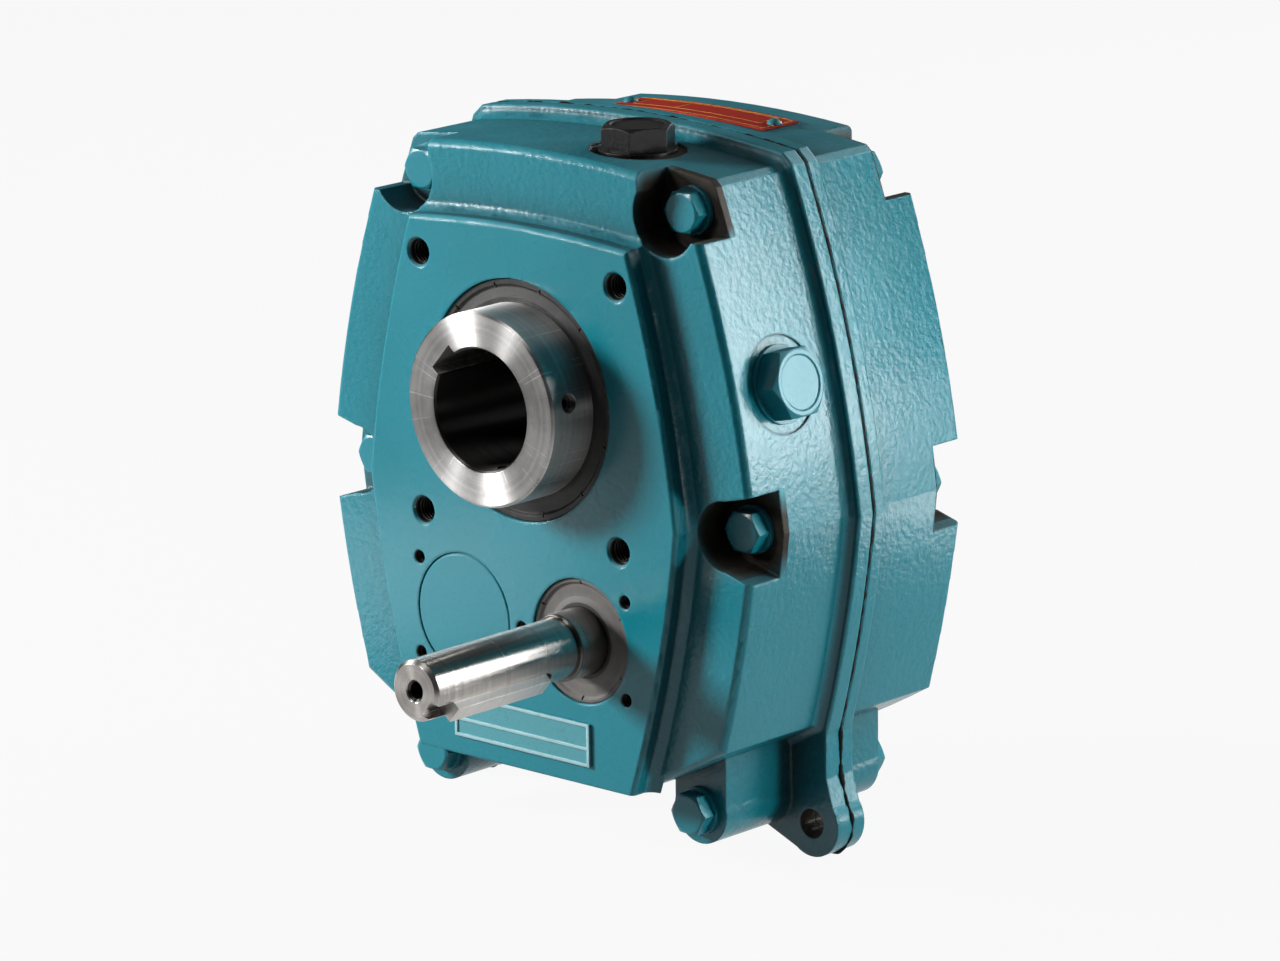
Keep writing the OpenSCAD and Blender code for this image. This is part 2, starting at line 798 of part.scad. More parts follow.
module bearing_circlips() {
    rear = rear_bearing_y + small_bearing[2];
    color(dark_steel) {
        at_intermediate() circlip(small_bearing[1], small_front_y - circlip_t);
        at_intermediate() circlip(small_bearing[1], rear);
        at_input() circlip(small_bearing[1], rear);
    }
}

// Ball bearings, each given by its list of sizes and the depth where it starts

module outer_ring(b, from) {
    inside = race_r(b) + ring_share * b[3];
    turned() difference() {
        translate([inside, from]) square([b[1] / 2 - seat_gap - inside, b[2]]);
        translate([race_r(b), from + b[2] / 2]) circle(b[3] / 2 + ball_gap);
    }
}

module inner_ring(b, from) {
    outside = race_r(b) - ring_share * b[3];
    turned() difference() {
        translate([b[0] / 2 + seat_gap, from]) square([outside - b[0] / 2 - seat_gap, b[2]]);
        translate([race_r(b), from + b[2] / 2]) circle(b[3] / 2 + ball_gap);
    }
}

// Children at each ball of a bearing
module at_balls(b, from) {
    for (i = [0:ball_count(b) - 1]) rotate([0, 360 * i / ball_count(b), 0])
        translate([race_r(b), from + b[2] / 2, 0]) children();
}

module balls(b, from) {
    at_balls(b, from) sphere(d = b[3]);
}

module cage(b, from) {
    thick = cage_share * b[3];
    width = 1.44 * b[3];
    difference() {
        turned() translate([race_r(b) - thick / 2, from + (b[2] - width) / 2]) square([thick, width]);
        at_balls(b, from) rotate([0, 90, 0]) cylinder(d = b[3] + 2 * ball_gap, h = b[3], center = true);
    }
}

module output_outer_rings() {
    color(steel) {
        outer_ring(output_bearing, output_front_y);
        outer_ring(output_bearing, rear_bearing_y);
    }
}
module output_inner_rings() {
    color(steel) {
        inner_ring(output_bearing, output_front_y);
        inner_ring(output_bearing, rear_bearing_y);
    }
}
module output_balls() {
    color(steel) {
        balls(output_bearing, output_front_y);
        balls(output_bearing, rear_bearing_y);
    }
}
module output_cages() {
    color("#b08d4a") {
        cage(output_bearing, output_front_y);
        cage(output_bearing, rear_bearing_y);
    }
}

module intermediate_outer_rings() {
    color(steel) at_intermediate() {
        outer_ring(small_bearing, small_front_y);
        outer_ring(small_bearing, rear_bearing_y);
    }
}
module intermediate_inner_rings() {
    color(steel) at_intermediate() {
        inner_ring(small_bearing, small_front_y);
        inner_ring(small_bearing, rear_bearing_y);
    }
}
module intermediate_balls() {
    color(steel) at_intermediate() {
        balls(small_bearing, small_front_y);
        balls(small_bearing, rear_bearing_y);
    }
}
module intermediate_cages() {
    color("#b08d4a") at_intermediate() {
        cage(small_bearing, small_front_y);
        cage(small_bearing, rear_bearing_y);
    }
}

module input_outer_rings() {
    color(steel) at_input() {
        outer_ring(input_front_bearing, input_front_y);
        outer_ring(small_bearing, rear_bearing_y);
    }
}
module input_inner_rings() {
    color(steel) at_input() {
        inner_ring(input_front_bearing, input_front_y);
        inner_ring(small_bearing, rear_bearing_y);
    }
}
module input_balls() {
    color(steel) at_input() {
        balls(input_front_bearing, input_front_y);
        balls(small_bearing, rear_bearing_y);
    }
}
module input_cages() {
    color("#b08d4a") at_input() {
        cage(input_front_bearing, input_front_y);
        cage(small_bearing, rear_bearing_y);
    }
}

// Output shaft

// Key or keyway on top of a shaft, sunk into it and standing out of it
module key_block(width, low, high, from, to) {
    translate([-width / 2, from, low]) cube([width, to - from, high - low]);
}

// Gear seat of the sleeve
seat_key_w = 20;
seat_key_low = output_seat_d / 2 - 4.5;
seat_key_high = output_seat_d / 2 + 3.5;

// Children at the two set screws, with the radius along Z
module at_set_screws() {
    for (a = [10, -80]) rotate([0, 90 - a, 0]) translate([0, front_pad_y - set_screw_reach, 0]) children();
}

module output_sleeve() {
    front = front_pad_y - hub_reach;
    rear = rear_pad_y + hub_reach;
    hub_r = hub_d / 2;
    bore_r = bore_d / 2;
    color(steel) difference() {
        turned() polygon([[bore_r, front + edge], [bore_r + edge, front], [hub_r - edge, front],
            [hub_r, front + edge], [hub_r, front_bearing_y], [output_collar_d / 2, front_bearing_y],
            [output_collar_d / 2, second_y],
            [output_seat_d / 2, second_y], [output_seat_d / 2, second_end], [hub_r, second_end],
            [hub_r, rear - edge], [hub_r - edge, rear], [bore_r + edge, rear], [bore_r, rear - edge]]);
        rotate([0, 90 - bore_key_angle, 0])
            key_block(bore_key_w, 0, bore_r + bore_key_deep, front - 1, rear + 1);
        key_block(seat_key_w, seat_key_low - key_gap, seat_key_high, second_y, second_end + 1);
        at_set_screws() cylinder(d = set_screw_d, h = hub_d);
    }
}

module output_gear() {
    rim_r = second_module * (output_teeth / 2 - 1.25) - 10;
    hub_r = seat_key_high + 7;
    recess = second_face * 0.3;
    color(dark_steel) difference() {
        along_y(second_y, second_end) polygon(gear_points(second_module, output_teeth, output_angle));
        rod(output_seat_d + 2 * seat_gap, second_y - 1, second_end + 1);
        tube(2 * hub_r, 2 * rim_r, second_y - 1, second_y + recess);
        tube(2 * hub_r, 2 * rim_r, second_end - recess, second_end + 1);
        key_block(seat_key_w + 2 * key_gap, 0, seat_key_high + key_gap, second_y - 1, second_end + 1);
    }
}

module output_gear_key() {
    color(steel) key_block(seat_key_w - 2 * key_gap, seat_key_low, seat_key_high, second_y, second_end);
}

module output_spacer() {
    color(steel) tube(hub_d + 2 * seat_gap, output_collar_d, second_end, rear_bearing_y);
}

module set_screws() {
    inner = bore_d / 2 + 1;
    outer = hub_d / 2 - 3;
    color(dark_steel) at_set_screws() difference() {
        translate([0, 0, inner]) cylinder(d = set_screw_d - 2 * lip_gap, h = outer - inner);
        translate([0, 0, outer - set_screw_d / 2])
            cylinder(d = set_screw_d * 0.55, h = set_screw_d, $fn = 6);
    }
}

// Intermediate shaft
mid_key_low = mid_seat_d / 2 - 4;
mid_key_high = mid_seat_d / 2 + 3;

module intermediate_shaft() {
    journal_r = small_bearing[0] / 2;
    front = small_front_y;
    rear = rear_bearing_y + small_bearing[2];
    pinion_from = second_y - pinion_extra;
    pinion_to = second_end + pinion_extra;
    color(steel) at_intermediate() {
        along_y(pinion_from, pinion_to)
            polygon(gear_points(second_module, pinion_teeth, output_angle + 180 + 180 / pinion_teeth));
        difference() {
            turned() polygon([[0, front], [journal_r - edge, front], [journal_r, front + edge],
                [journal_r, front_bearing_y], [mid_seat_d / 2, front_bearing_y], [mid_seat_d / 2, first_end],
                [mid_collar_d / 2, first_end], [mid_collar_d / 2, pinion_from + 1],
                [journal_r, pinion_from + 1], [journal_r, pinion_to - 1], [mid_seat_d / 2, pinion_to - 1],
                [mid_seat_d / 2, rear_bearing_y], [journal_r, rear_bearing_y], [journal_r, rear - edge],
                [journal_r - edge, rear], [0, rear]]);
            key_block(key_w, mid_key_low - key_gap, mid_key_high, first_y, first_end);
        }
    }
}

module intermediate_gear() {
    phase = 0;
    hub_r = mid_key_high + 6;
    rim_r = first_module * (intermediate_teeth / 2 - 1.25) - 7;
    recess = first_face * 0.3;
    color(dark_steel) at_intermediate() difference() {
        union() {
            along_y(first_y, first_end) polygon(gear_points(first_module, intermediate_teeth, phase));
            rod(2 * hub_r, front_bearing_y, first_end);
        }
        rod(mid_seat_d + 2 * seat_gap, front_bearing_y - 1, first_end + 1);
        tube(2 * hub_r, 2 * rim_r, first_y - 1, first_y + recess);
        tube(2 * hub_r, 2 * rim_r, first_end - recess, first_end + 1);
        key_block(key_w + 2 * key_gap, 0, mid_key_high + key_gap, front_bearing_y - 1, first_end + 1);
    }
}

module intermediate_key() {
    color(steel) at_intermediate()
        key_block(key_w - 2 * key_gap, mid_key_low, mid_key_high, first_y, first_end - key_gap);
}

// Input shaft
input_end = front_pad_y - shaft_reach;
input_key_low = shaft_d / 2 - key_h * 0.57;

module input_shaft() {
    end_r = shaft_d / 2;
    journal_r = input_front_bearing[0] / 2;
    rear_r = small_bearing[0] / 2;
    seal_r = seal_journal_d / 2;
    step_y = front_pad_y - seal_journal_reach;
    pinion_from = first_y - pinion_extra;
    pinion_to = first_end + pinion_extra;
    collar_y = second_end + 4;
    rear = rear_bearing_y + small_bearing[2];
    color(steel) at_input() {
        along_y(pinion_from, pinion_to)
            polygon(gear_points(first_module, input_teeth, 180 + 180 / input_teeth));
        difference() {
            turned() polygon([[0, input_end], [end_r - 1.5 * edge, input_end],
                [end_r, input_end + 1.5 * edge], [end_r, step_y], [seal_r - edge / 2, step_y],
                [seal_r, step_y + edge / 2], [seal_r, input_front_y], [journal_r, input_front_y],
                [journal_r, front_bearing_y], [journal_r + 2, front_bearing_y],
                [journal_r + 2, pinion_from + 1], [rear_r, pinion_from + 1], [rear_r, collar_y],
                [rear_r + 2, collar_y], [rear_r + 2, rear_bearing_y], [rear_r, rear_bearing_y],
                [rear_r, rear - edge], [rear_r - edge, rear], [0, rear]]);
            rotate([0, 90 - key_angle, 0]) {
                runout_y = input_end + key_inset + key_l - key_w / 2;
                key_block(key_w, input_key_low - key_gap, shaft_d, input_end - 1, runout_y + edge);
                translate([0, runout_y + edge, input_key_low - key_gap]) cylinder(d = key_w, h = shaft_d);
            }
            rod(end_hole_d, input_end - 1, input_end + 2.5 * end_hole_d);
            turned() polygon([[0, input_end - 1], [end_hole_d * 0.7 + 1, input_end - 1],
                [0, input_end + end_hole_d * 0.7]]);
        }
    }
}

module input_key() {
    from = input_end + key_inset;
    color(steel) at_input() rotate([0, 90 - key_angle, 0])
        key_block(key_w - 2 * key_gap, input_key_low, input_key_low + key_h, from, from + key_l - key_w / 2);
}

front_casing();
rear_casing();
casing_gasket();
case_bolts();
case_washers();
case_nuts();
dowel_pins();
filler_plug();
filler_washer();
level_plug();
level_washer();
drain_plug();
drain_washer();
rating_plate();
plate_rivets();
front_plate();
front_output_seal();
rear_output_seal();
input_seal();
front_core_plug();
rear_core_plugs();
bearing_circlips();
output_outer_rings();
intermediate_outer_rings();
input_outer_rings();
output_sleeve();
output_gear();
output_gear_key();
output_spacer();
output_inner_rings();
set_screws();
intermediate_shaft();
intermediate_gear();
intermediate_key();
intermediate_inner_rings();
input_shaft();
input_key();
input_inner_rings();
output_balls();
output_cages();
intermediate_balls();
intermediate_cages();
input_balls();
input_cages();
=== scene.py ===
import math

import bmesh
import bpy
from mathutils import Matrix, Vector


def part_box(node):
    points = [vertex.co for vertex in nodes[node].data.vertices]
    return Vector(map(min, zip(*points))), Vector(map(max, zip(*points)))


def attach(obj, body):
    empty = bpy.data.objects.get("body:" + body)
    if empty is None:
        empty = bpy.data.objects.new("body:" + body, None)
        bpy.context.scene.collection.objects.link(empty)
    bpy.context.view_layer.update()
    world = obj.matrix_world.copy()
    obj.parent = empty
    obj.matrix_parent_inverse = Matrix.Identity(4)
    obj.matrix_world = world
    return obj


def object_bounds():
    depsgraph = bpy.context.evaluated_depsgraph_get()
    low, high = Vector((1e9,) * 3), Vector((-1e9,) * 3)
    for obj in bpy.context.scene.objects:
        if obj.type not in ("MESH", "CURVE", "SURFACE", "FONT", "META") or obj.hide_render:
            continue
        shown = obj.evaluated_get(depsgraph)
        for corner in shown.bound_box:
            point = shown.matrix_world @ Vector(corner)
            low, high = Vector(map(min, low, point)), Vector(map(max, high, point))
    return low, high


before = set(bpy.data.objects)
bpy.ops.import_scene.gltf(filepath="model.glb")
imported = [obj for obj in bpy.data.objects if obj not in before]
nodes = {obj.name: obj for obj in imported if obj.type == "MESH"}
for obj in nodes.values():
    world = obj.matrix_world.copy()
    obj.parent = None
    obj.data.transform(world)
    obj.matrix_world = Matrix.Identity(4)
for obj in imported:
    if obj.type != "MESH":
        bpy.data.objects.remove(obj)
cad_box = [list(corner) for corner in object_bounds()]
scene = bpy.context.scene
scene.view_settings.view_transform = "Standard"

# Camera: a long lens about two and a half metres away, to the right of the input side and a little above it.
# It looks level enough for the barrelled casing to keep its upright sides.
camera = bpy.data.cameras.new("camera")
camera.sensor_width = 36
camera.lens = 180.23
camera.clip_end = 50
viewer = bpy.data.objects.new("camera", camera)
scene.collection.objects.link(viewer)
scene.camera = viewer
camera_place = (1.7267, -1.8962, 0.5915)
around, above, tilt = (math.radians(angle) for angle in (42.39, 14.0, -0.74))
back = Vector((math.sin(around) * math.cos(above), -math.cos(around) * math.cos(above), math.sin(above)))
level = Vector((math.cos(around), math.sin(around), 0))
plumb = back.cross(level)
right = level * math.cos(tilt) + plumb * math.sin(tilt)
up = plumb * math.cos(tilt) - level * math.sin(tilt)
viewer.matrix_world = Matrix.Translation(camera_place) @ Matrix((right, up, back)).transposed().to_4x4()

# Studio: a pale floor in a white room, with one soft box to the front left as the main light and weaker ones
# above and behind. Two boxes rake along the right side from behind. The small cards only show in the gloss:
# they are there for the sheen on the barrelled sides, the pad and the shaft.
world = bpy.data.worlds.new("studio")
scene.world = world
world.use_nodes = True


def node(tree, kind, **sockets):
    """Adds a node and sets its inputs by name or, as i0, i1 and so on, by number. A socket gets linked."""
    made = tree.nodes.new(kind)
    for name, value in sockets.items():
        key = name.replace("_", " ")
        if hasattr(made, name) and key not in made.inputs:
            setattr(made, name, value)
            continue
        socket = made.inputs[key] if key in made.inputs else made.inputs[int(name[1:])]
        if isinstance(value, bpy.types.NodeSocket):
            tree.links.new(value, socket)
        else:
            socket.default_value = value
    return made


def calc(tree, operation, *terms):
    """Adds a Math node and gives its result."""
    numbered = {f"i{k}": term for k, term in enumerate(terms)}
    return node(tree, "ShaderNodeMath", operation=operation, **numbered).outputs[0]


def ramp(tree, value, start, end, first=0.0, last=1.0):
    """Turns a value that goes from start to end into one that goes from first to last and no further."""
    return node(tree, "ShaderNodeMapRange", Value=value, i1=start, i2=end, i3=first, i4=last).outputs[0]


def own_place(tree):
    """Gives a point's place in the frame of its own piece."""
    return node(tree, "ShaderNodeTexCoord").outputs["Object"]


def new_material(name):
    """Starts a material with an empty tree."""
    made = bpy.data.materials.new(name)
    made.use_nodes = True
    made.node_tree.nodes.clear()
    return made, made.node_tree


mirrored_room = 0.03
tree = world.node_tree
tree.nodes.clear()
ray = node(tree, "ShaderNodeLightPath").outputs
seen = calc(tree, "MULTIPLY_ADD", ray["Is Glossy Ray"], mirrored_room, ray["Is Camera Ray"])
room = node(tree, "ShaderNodeBackground", Color=(0.62, 0.66, 0.7, 1), Strength=0.05)
white = node(tree, "ShaderNodeBackground", Color=(1, 1, 1, 1), Strength=1.0)
mixed = node(tree, "ShaderNodeMixShader", i0=seen, i1=room.outputs[0], i2=white.outputs[0])
node(tree, "ShaderNodeOutputWorld", Surface=mixed.outputs[0])

floor_reach = 6
floor_z = cad_box[0][2] - 0.0005
corners = [(x * floor_reach, y * floor_reach, floor_z) for x, y in ((-1, -1), (1, -1), (1, 1), (-1, 1))]
mesh = bpy.data.meshes.new("floor")
mesh.from_pydata(corners, [], [(0, 1, 2, 3)])
floor = bpy.data.objects.new("floor", mesh)
scene.collection.objects.link(floor)
floor_white = 0.93
near_by, far_off = 0.3, 0.8
mirrored_near, mirrored_far = 0.9, 0.05
pale_card, tree = new_material("pale_card")
ray = node(tree, "ShaderNodeLightPath").outputs
away = node(tree, "ShaderNodeVectorMath", operation="LENGTH", i0=own_place(tree)).outputs["Value"]
mirrored = ramp(tree, away, near_by, far_off, mirrored_near, mirrored_far)
seen = calc(tree, "MULTIPLY_ADD", ray["Is Glossy Ray"], mirrored, ray["Is Camera Ray"])
matt = node(tree, "ShaderNodeBsdfDiffuse", Color=(0.3, 0.3, 0.3, 1))
glow = node(tree, "ShaderNodeEmission", Color=(1, 1, 1, 1), Strength=1.0)
mixed = node(tree, "ShaderNodeMixShader", i0=calc(tree, "MULTIPLY", seen, floor_white),
             i1=matt.outputs[0], i2=glow.outputs[0])
node(tree, "ShaderNodeOutputMaterial", Surface=mixed.outputs[0])
floor.data.materials.append(pale_card)


def soft_box(name, place, target, width, height, power):
    """Hangs a rectangular soft box that faces a point of the gearbox."""
    lamp = bpy.data.lights.new(name, "AREA")
    lamp.shape = "RECTANGLE"
    lamp.size = width
    lamp.size_y = height
    lamp.energy = power
    holder = bpy.data.objects.new(name, lamp)
    scene.collection.objects.link(holder)
    holder.location = place
    holder.rotation_euler = (Vector(target) - Vector(place)).to_track_quat("-Z", "Y").to_euler()
    holder.visible_camera = False
    return holder


soft_box("front_left_box", (-1.38, -0.99, 0.5), (0, -0.05, -0.05), 0.4, 0.4, 50)
for raking_box in (soft_box("right_box", (1.1, 1.15, 0.42), (0.1, -0.03, 0.0), 0.3, 0.3, 8),
                   soft_box("low_box", (0.95, 0.35, -0.12), (0.1, 0, -0.1), 0.2, 0.15, 5)):
    raking_box.visible_glossy = False
soft_box("overhead_box", (0.3, -0.55, 1.3), (0, 0, 0.05), 0.5, 0.4, 1.0)
soft_box("rear_box", (-0.2, 1.9, 0.4), (0, 0, -0.03), 0.7, 0.7, 14)
for sheen_card in (soft_box("high_card", (-0.45, -1.28, 0.65), (0.02, -0.1, 0), 0.24, 0.24, 11),
                   soft_box("right_card", (1.1, -0.3, -0.12), (0.02, -0.1, 0), 0.14, 0.3, 0.7),
                   soft_box("side_card", (0.385, 0.165, 0.11), (0.105, -0.035, 0.03), 0.19, 0.27, 2.4),
                   soft_box("low_card", (0.8, 0.75, -0.05), (0.1, 0, -0.15), 0.25, 0.2, 1.0),
                   soft_box("floor_card", (0.3, 0.28, -0.19), (0.1, -0.03, -0.12), 0.12, 0.1, 0.35),
                   soft_box("pad_card", (-0.27, -0.25, -0.185), (-0.03, -0.077, -0.13), 0.2, 0.12, 0.2),
                   soft_box("back_card", (0.4, 1.0, 0.85), (0.08, -0.02, 0), 0.4, 0.4, 5)):
    sheen_card.visible_diffuse = False

# Casing halves: two iron castings in teal enamel, sprayed after assembly over the sand texture.
# The pads are machined before painting, so they are smoother than the walls around them. The tapped holes are
# bare inside and painted near black as shade, and the bolt pockets and nooks are darkened as painted shade.
teal = (0.003, 0.208, 0.266, 1)
pad_start = 0.0728
lower_axes_z = -0.094657
mount_hole = 0.054
cover_hole_x, cover_hole_z = 0.057, 0.0203
arm_hole_x, arm_hole_z = 0.0962, -0.1747
corner_bolt = (0.0715, 0.083)
waist_bolt = (0.102, -0.042)
foot_bolt = (0.0715, -0.1645)


def shader_group(name, inputs, outputs):
    """Starts a shader group with named inputs, each with its usual value, and named outputs."""
    group = bpy.data.node_groups.new(name, "ShaderNodeTree")
    for label, value in inputs.items():
        socket = group.interface.new_socket(label, in_out="INPUT", socket_type="NodeSocketFloat")
        socket.default_value = value
    for label in outputs:
        kind = "NodeSocketVector" if label == "Normal" else "NodeSocketFloat"
        group.interface.new_socket(label, in_out="OUTPUT", socket_type=kind)
    return group, node(group, "NodeGroupInput").outputs


def noise(tree, place, scale, detail, roughness=0.5):
    """Gives a cloud of values around a half that changes with the place."""
    made = node(tree, "ShaderNodeTexNoise", Vector=place, Scale=scale, Detail=detail, Roughness=roughness)
    return made.outputs["Fac"]


cast_skin, given = shader_group("cast_skin", {"Sand": 1.0, "Smooth From": 1.0},
                                ("Height", "Cloud", "Speck", "Pad"))
place = own_place(cast_skin)
depth = calc(cast_skin, "ABSOLUTE", node(cast_skin, "ShaderNodeSeparateXYZ", Vector=place).outputs["Y"])
pad = calc(cast_skin, "GREATER_THAN", depth, given["Smooth From"])
sand = noise(cast_skin, place, 400, 1.5, 0.45)
peel = noise(cast_skin, place, 1050, 1)
swell = noise(cast_skin, place, 110, 1)
coarse = calc(cast_skin, "MULTIPLY_ADD", peel, 0.22, sand)
coarse = calc(cast_skin, "MULTIPLY_ADD", swell, 0.7, coarse)
tall = calc(cast_skin, "MULTIPLY", coarse, given["Sand"])
tall = calc(cast_skin, "MULTIPLY", tall, ramp(cast_skin, pad, 0, 1, 1.0, 0.3))
cloud = noise(cast_skin, place, 22, 3)
pits = ramp(cast_skin, noise(cast_skin, place, 700, 2, 0.6), 0.3, 0.42, 1, 0)
node(cast_skin, "NodeGroupOutput", Height=tall, Cloud=cloud, Speck=pits, Pad=pad)

worn_edge, given = shader_group("worn_edge", {"Width": 0.001}, ("Edge", "Normal"))
soft = node(worn_edge, "ShaderNodeBevel", samples=3, Radius=given["Width"]).outputs[0]
plain = node(worn_edge, "ShaderNodeNewGeometry").outputs["Normal"]
agree = node(worn_edge, "ShaderNodeVectorMath", operation="DOT_PRODUCT", i0=soft, i1=plain).outputs["Value"]
rub = ramp(worn_edge, noise(worn_edge, own_place(worn_edge), 140, 4, 0.7), 0.42, 0.62)
rubbed = calc(worn_edge, "MULTIPLY", ramp(worn_edge, agree, 0.99, 0.85), rub)
node(worn_edge, "NodeGroupOutput", Edge=rubbed, Normal=soft)

settled_dust, given = shader_group("settled_dust", {"Drift": 45.0}, ("Dust",))
plain = node(settled_dust, "ShaderNodeNewGeometry").outputs["Normal"]
upward = node(settled_dust, "ShaderNodeSeparateXYZ", Vector=plain).outputs["Z"]
drift = noise(settled_dust, own_place(settled_dust), given["Drift"], 4, 0.6)
dust = calc(settled_dust, "MULTIPLY", ramp(settled_dust, upward, 0.45, 0.9),
            ramp(settled_dust, drift, 0.3, 0.65, 0.6, 1))
node(settled_dust, "NodeGroupOutput", Dust=dust)


def place_group(tree, group, **values):
    """Places a shader group and sets its inputs."""
    made = tree.nodes.new("ShaderNodeGroup")
    made.node_tree = group
    for name, value in values.items():
        made.inputs[name.replace("_", " ")].default_value = value
    return made.outputs


def mix_colour(tree, share, first, second):
    """Mixes two colours, each a value or a socket."""
    return node(tree, "ShaderNodeMix", data_type="RGBA", i0=share, i6=first, i7=second).outputs[2]


def tint(colour, times, plus=0.0):
    """Scales a colour, with a little white added."""
    return tuple(min(1, c * times + plus) for c in colour[:3]) + (1,)


def enamel(name, colour, sand, gloss=0.32, nooks=0.0, smooth_from=1.0, edge=0.0008, bare_and_shade=None, shine=0.4,
           worn=None):
    """Sprayed enamel over metal: orange peel, a slightly cloudy film, thin paint on edges and painted shade
    in nooks.
    Where the given mask is 1, the paint gives way to near-black metal: the walls of holes, darkened as
    painted shade, and painted shade in the bolt pockets. The colour worn comes through on the edges, and
    without it they are a paler film, partly a painted highlight."""
    pitted = tint(colour, 0.82)
    # The paler film on the edges is thin paint there, and a painted highlight along them.
    edge_film_and_highlight = tint(colour, 1.7, 0.03)
    # The near-black colour for nooks is painted shade.
    painted_nook_shade = (0.003, 0.0045, 0.005, 1)
    dust_grey = (0.3, 0.31, 0.3, 1)
    # The bare iron colour is near black: painted shade in the holes and bolt pockets.
    bare_iron_and_shade = (0.03, 0.027, 0.023, 1)
    dust_share, dust_dulls, iron_dulls = 0.015, 0.45, 0.4
    wall_sky, pad_sky = 0.97, 0.86
    peel_depth = 0.0003
    made, tree = new_material(name)
    skin = place_group(tree, cast_skin, Sand=sand, Smooth_From=smooth_from)
    rim = place_group(tree, worn_edge, Width=edge)
    film = mix_colour(tree, skin["Cloud"], tint(colour, 0.9), tint(colour, 1.1))
    film = mix_colour(tree, skin["Speck"], film, pitted)
    film = mix_colour(tree, rim["Edge"], film, worn or edge_film_and_highlight)
    # Where ambient occlusion finds a nook, the film goes near black as painted shade.
    if nooks:
        sky = node(tree, "ShaderNodeAmbientOcclusion", Distance=nooks, samples=3, only_local=True)
        open_sky = ramp(tree, skin["Pad"], 0, 1, wall_sky, pad_sky)
        film = mix_colour(tree, ramp(tree, sky.outputs["AO"], 0.3, open_sky, 1, 0), film, painted_nook_shade)
    dust = place_group(tree, settled_dust, Drift=45)["Dust"]
    film = mix_colour(tree, calc(tree, "MULTIPLY", dust, dust_share), film, dust_grey)
    rough = ramp(tree, skin["Cloud"], 0, 1, gloss - 0.04, gloss + 0.04)
    rough = calc(tree, "MULTIPLY_ADD", dust, dust_dulls, rough)
    coat = ramp(tree, dust, 0, 1, 0.08, 0)
    iron_and_shade_mask = 0.0
    if bare_and_shade:
        iron_and_shade_mask = bare_and_shade(tree)
        film = mix_colour(tree, iron_and_shade_mask, film, bare_iron_and_shade)
        rough = calc(tree, "MULTIPLY_ADD", iron_and_shade_mask, iron_dulls, rough)
    bump = node(tree, "ShaderNodeBump", Strength=0.75, Distance=peel_depth, Height=skin["Height"],
                Normal=rim["Normal"])
    paint = node(tree, "ShaderNodeBsdfPrincipled", Base_Color=film, Roughness=rough, Metallic=iron_and_shade_mask,
                 Normal=bump.outputs[0], Specular_IOR_Level=shine, Coat_Weight=coat, Coat_Roughness=0.12)
    node(tree, "ShaderNodeOutputMaterial", Surface=paint.outputs[0])
    return made


def dress(material, *names):
    """Gives CAD nodes one material."""
    for name in names:
        nodes[name].data.materials.clear()
        nodes[name].data.materials.append(material)


def distance(tree, first, second):
    """Gives the distance between two points."""
    return node(tree, "ShaderNodeVectorMath", operation="DISTANCE", i0=first, i1=second).outputs["Value"]


def bare_iron_and_pocket_shade(tree):
    """Masks where near-black metal replaces the paint: the walls of the tapped holes and of the torque arm
    holes, alike on left and right, and the seat of the filler plug, all darkened as painted shade, and
    painted shade in the bolt pockets, heavier on the right."""
    place = node(tree, "ShaderNodeSeparateXYZ", Vector=own_place(tree)).outputs
    side = calc(tree, "ABSOLUTE", place["X"])
    depth = calc(tree, "ABSOLUTE", place["Y"])
    from_front = node(tree, "ShaderNodeCombineXYZ", X=side, Z=place["Z"]).outputs[0]
    from_above = node(tree, "ShaderNodeCombineXYZ", X=place["X"], Y=place["Y"]).outputs[0]
    seat = calc(tree, "LESS_THAN", distance(tree, from_above, filler_seat), filler_seat_r)
    mask = calc(tree, "MULTIPLY", seat, calc(tree, "GREATER_THAN", place["Z"], crown_foot_z))
    for x, z, radius, end_y in shaded_bare_holes:
        inside = calc(tree, "LESS_THAN", distance(tree, from_front, (x, 0, z)), radius)
        wall = calc(tree, "MULTIPLY", inside, calc(tree, "LESS_THAN", place["Y"], end_y))
        mask = calc(tree, "MAXIMUM", wall, mask)
    # The pocket darkening is painted shade, heavier on the right side.
    shaded_side = ramp(tree, place["X"], -0.01, 0.01, left_pocket_shade, right_pocket_shade)
    for (x, z), radius, mouth_x, flare in bolt_pockets:
        away = distance(tree, from_front, (x, 0, z))
        beyond = calc(tree, "SUBTRACT", side, mouth_x)
        rise = calc(tree, "SUBTRACT", place["Z"], z)
        if flare:
            half = calc(tree, "MULTIPLY_ADD", beyond, flare, radius)
            within = calc(tree, "LESS_THAN", calc(tree, "ABSOLUTE", rise), half)
        else:
            within = calc(tree, "GREATER_THAN", rise, -corner_ledge)
        opening = calc(tree, "MULTIPLY", calc(tree, "GREATER_THAN", beyond, 0.0), within)
        pocket = calc(tree, "MAXIMUM", opening, calc(tree, "LESS_THAN", away, radius))
        # Painted shade, strongest deep in the pocket and close to the bolt.
        pocket_shade = calc(tree, "MULTIPLY", ramp(tree, depth, *pocket_shade_depths, faint_pocket_shade, 1),
                     ramp(tree, away, radius + 0.001, radius + 0.008, 1, faint_pocket_shade))
        pocket_shade = calc(tree, "MULTIPLY", pocket_shade, calc(tree, "GREATER_THAN", depth, pocket_floor))
        pocket_shade = calc(tree, "MULTIPLY", pocket_shade, shaded_side)
        mask = calc(tree, "MAXIMUM", calc(tree, "MULTIPLY", pocket, pocket_shade), mask)
    return mask


plug_low, plug_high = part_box("filler_plug")
filler_seat = ((plug_low.x + plug_high.x) / 2, (plug_low.y + plug_high.y) / 2, 0)
filler_seat_r = 0.0197
crown_foot_z = 0.09
front_only, both_halves = 0, 1
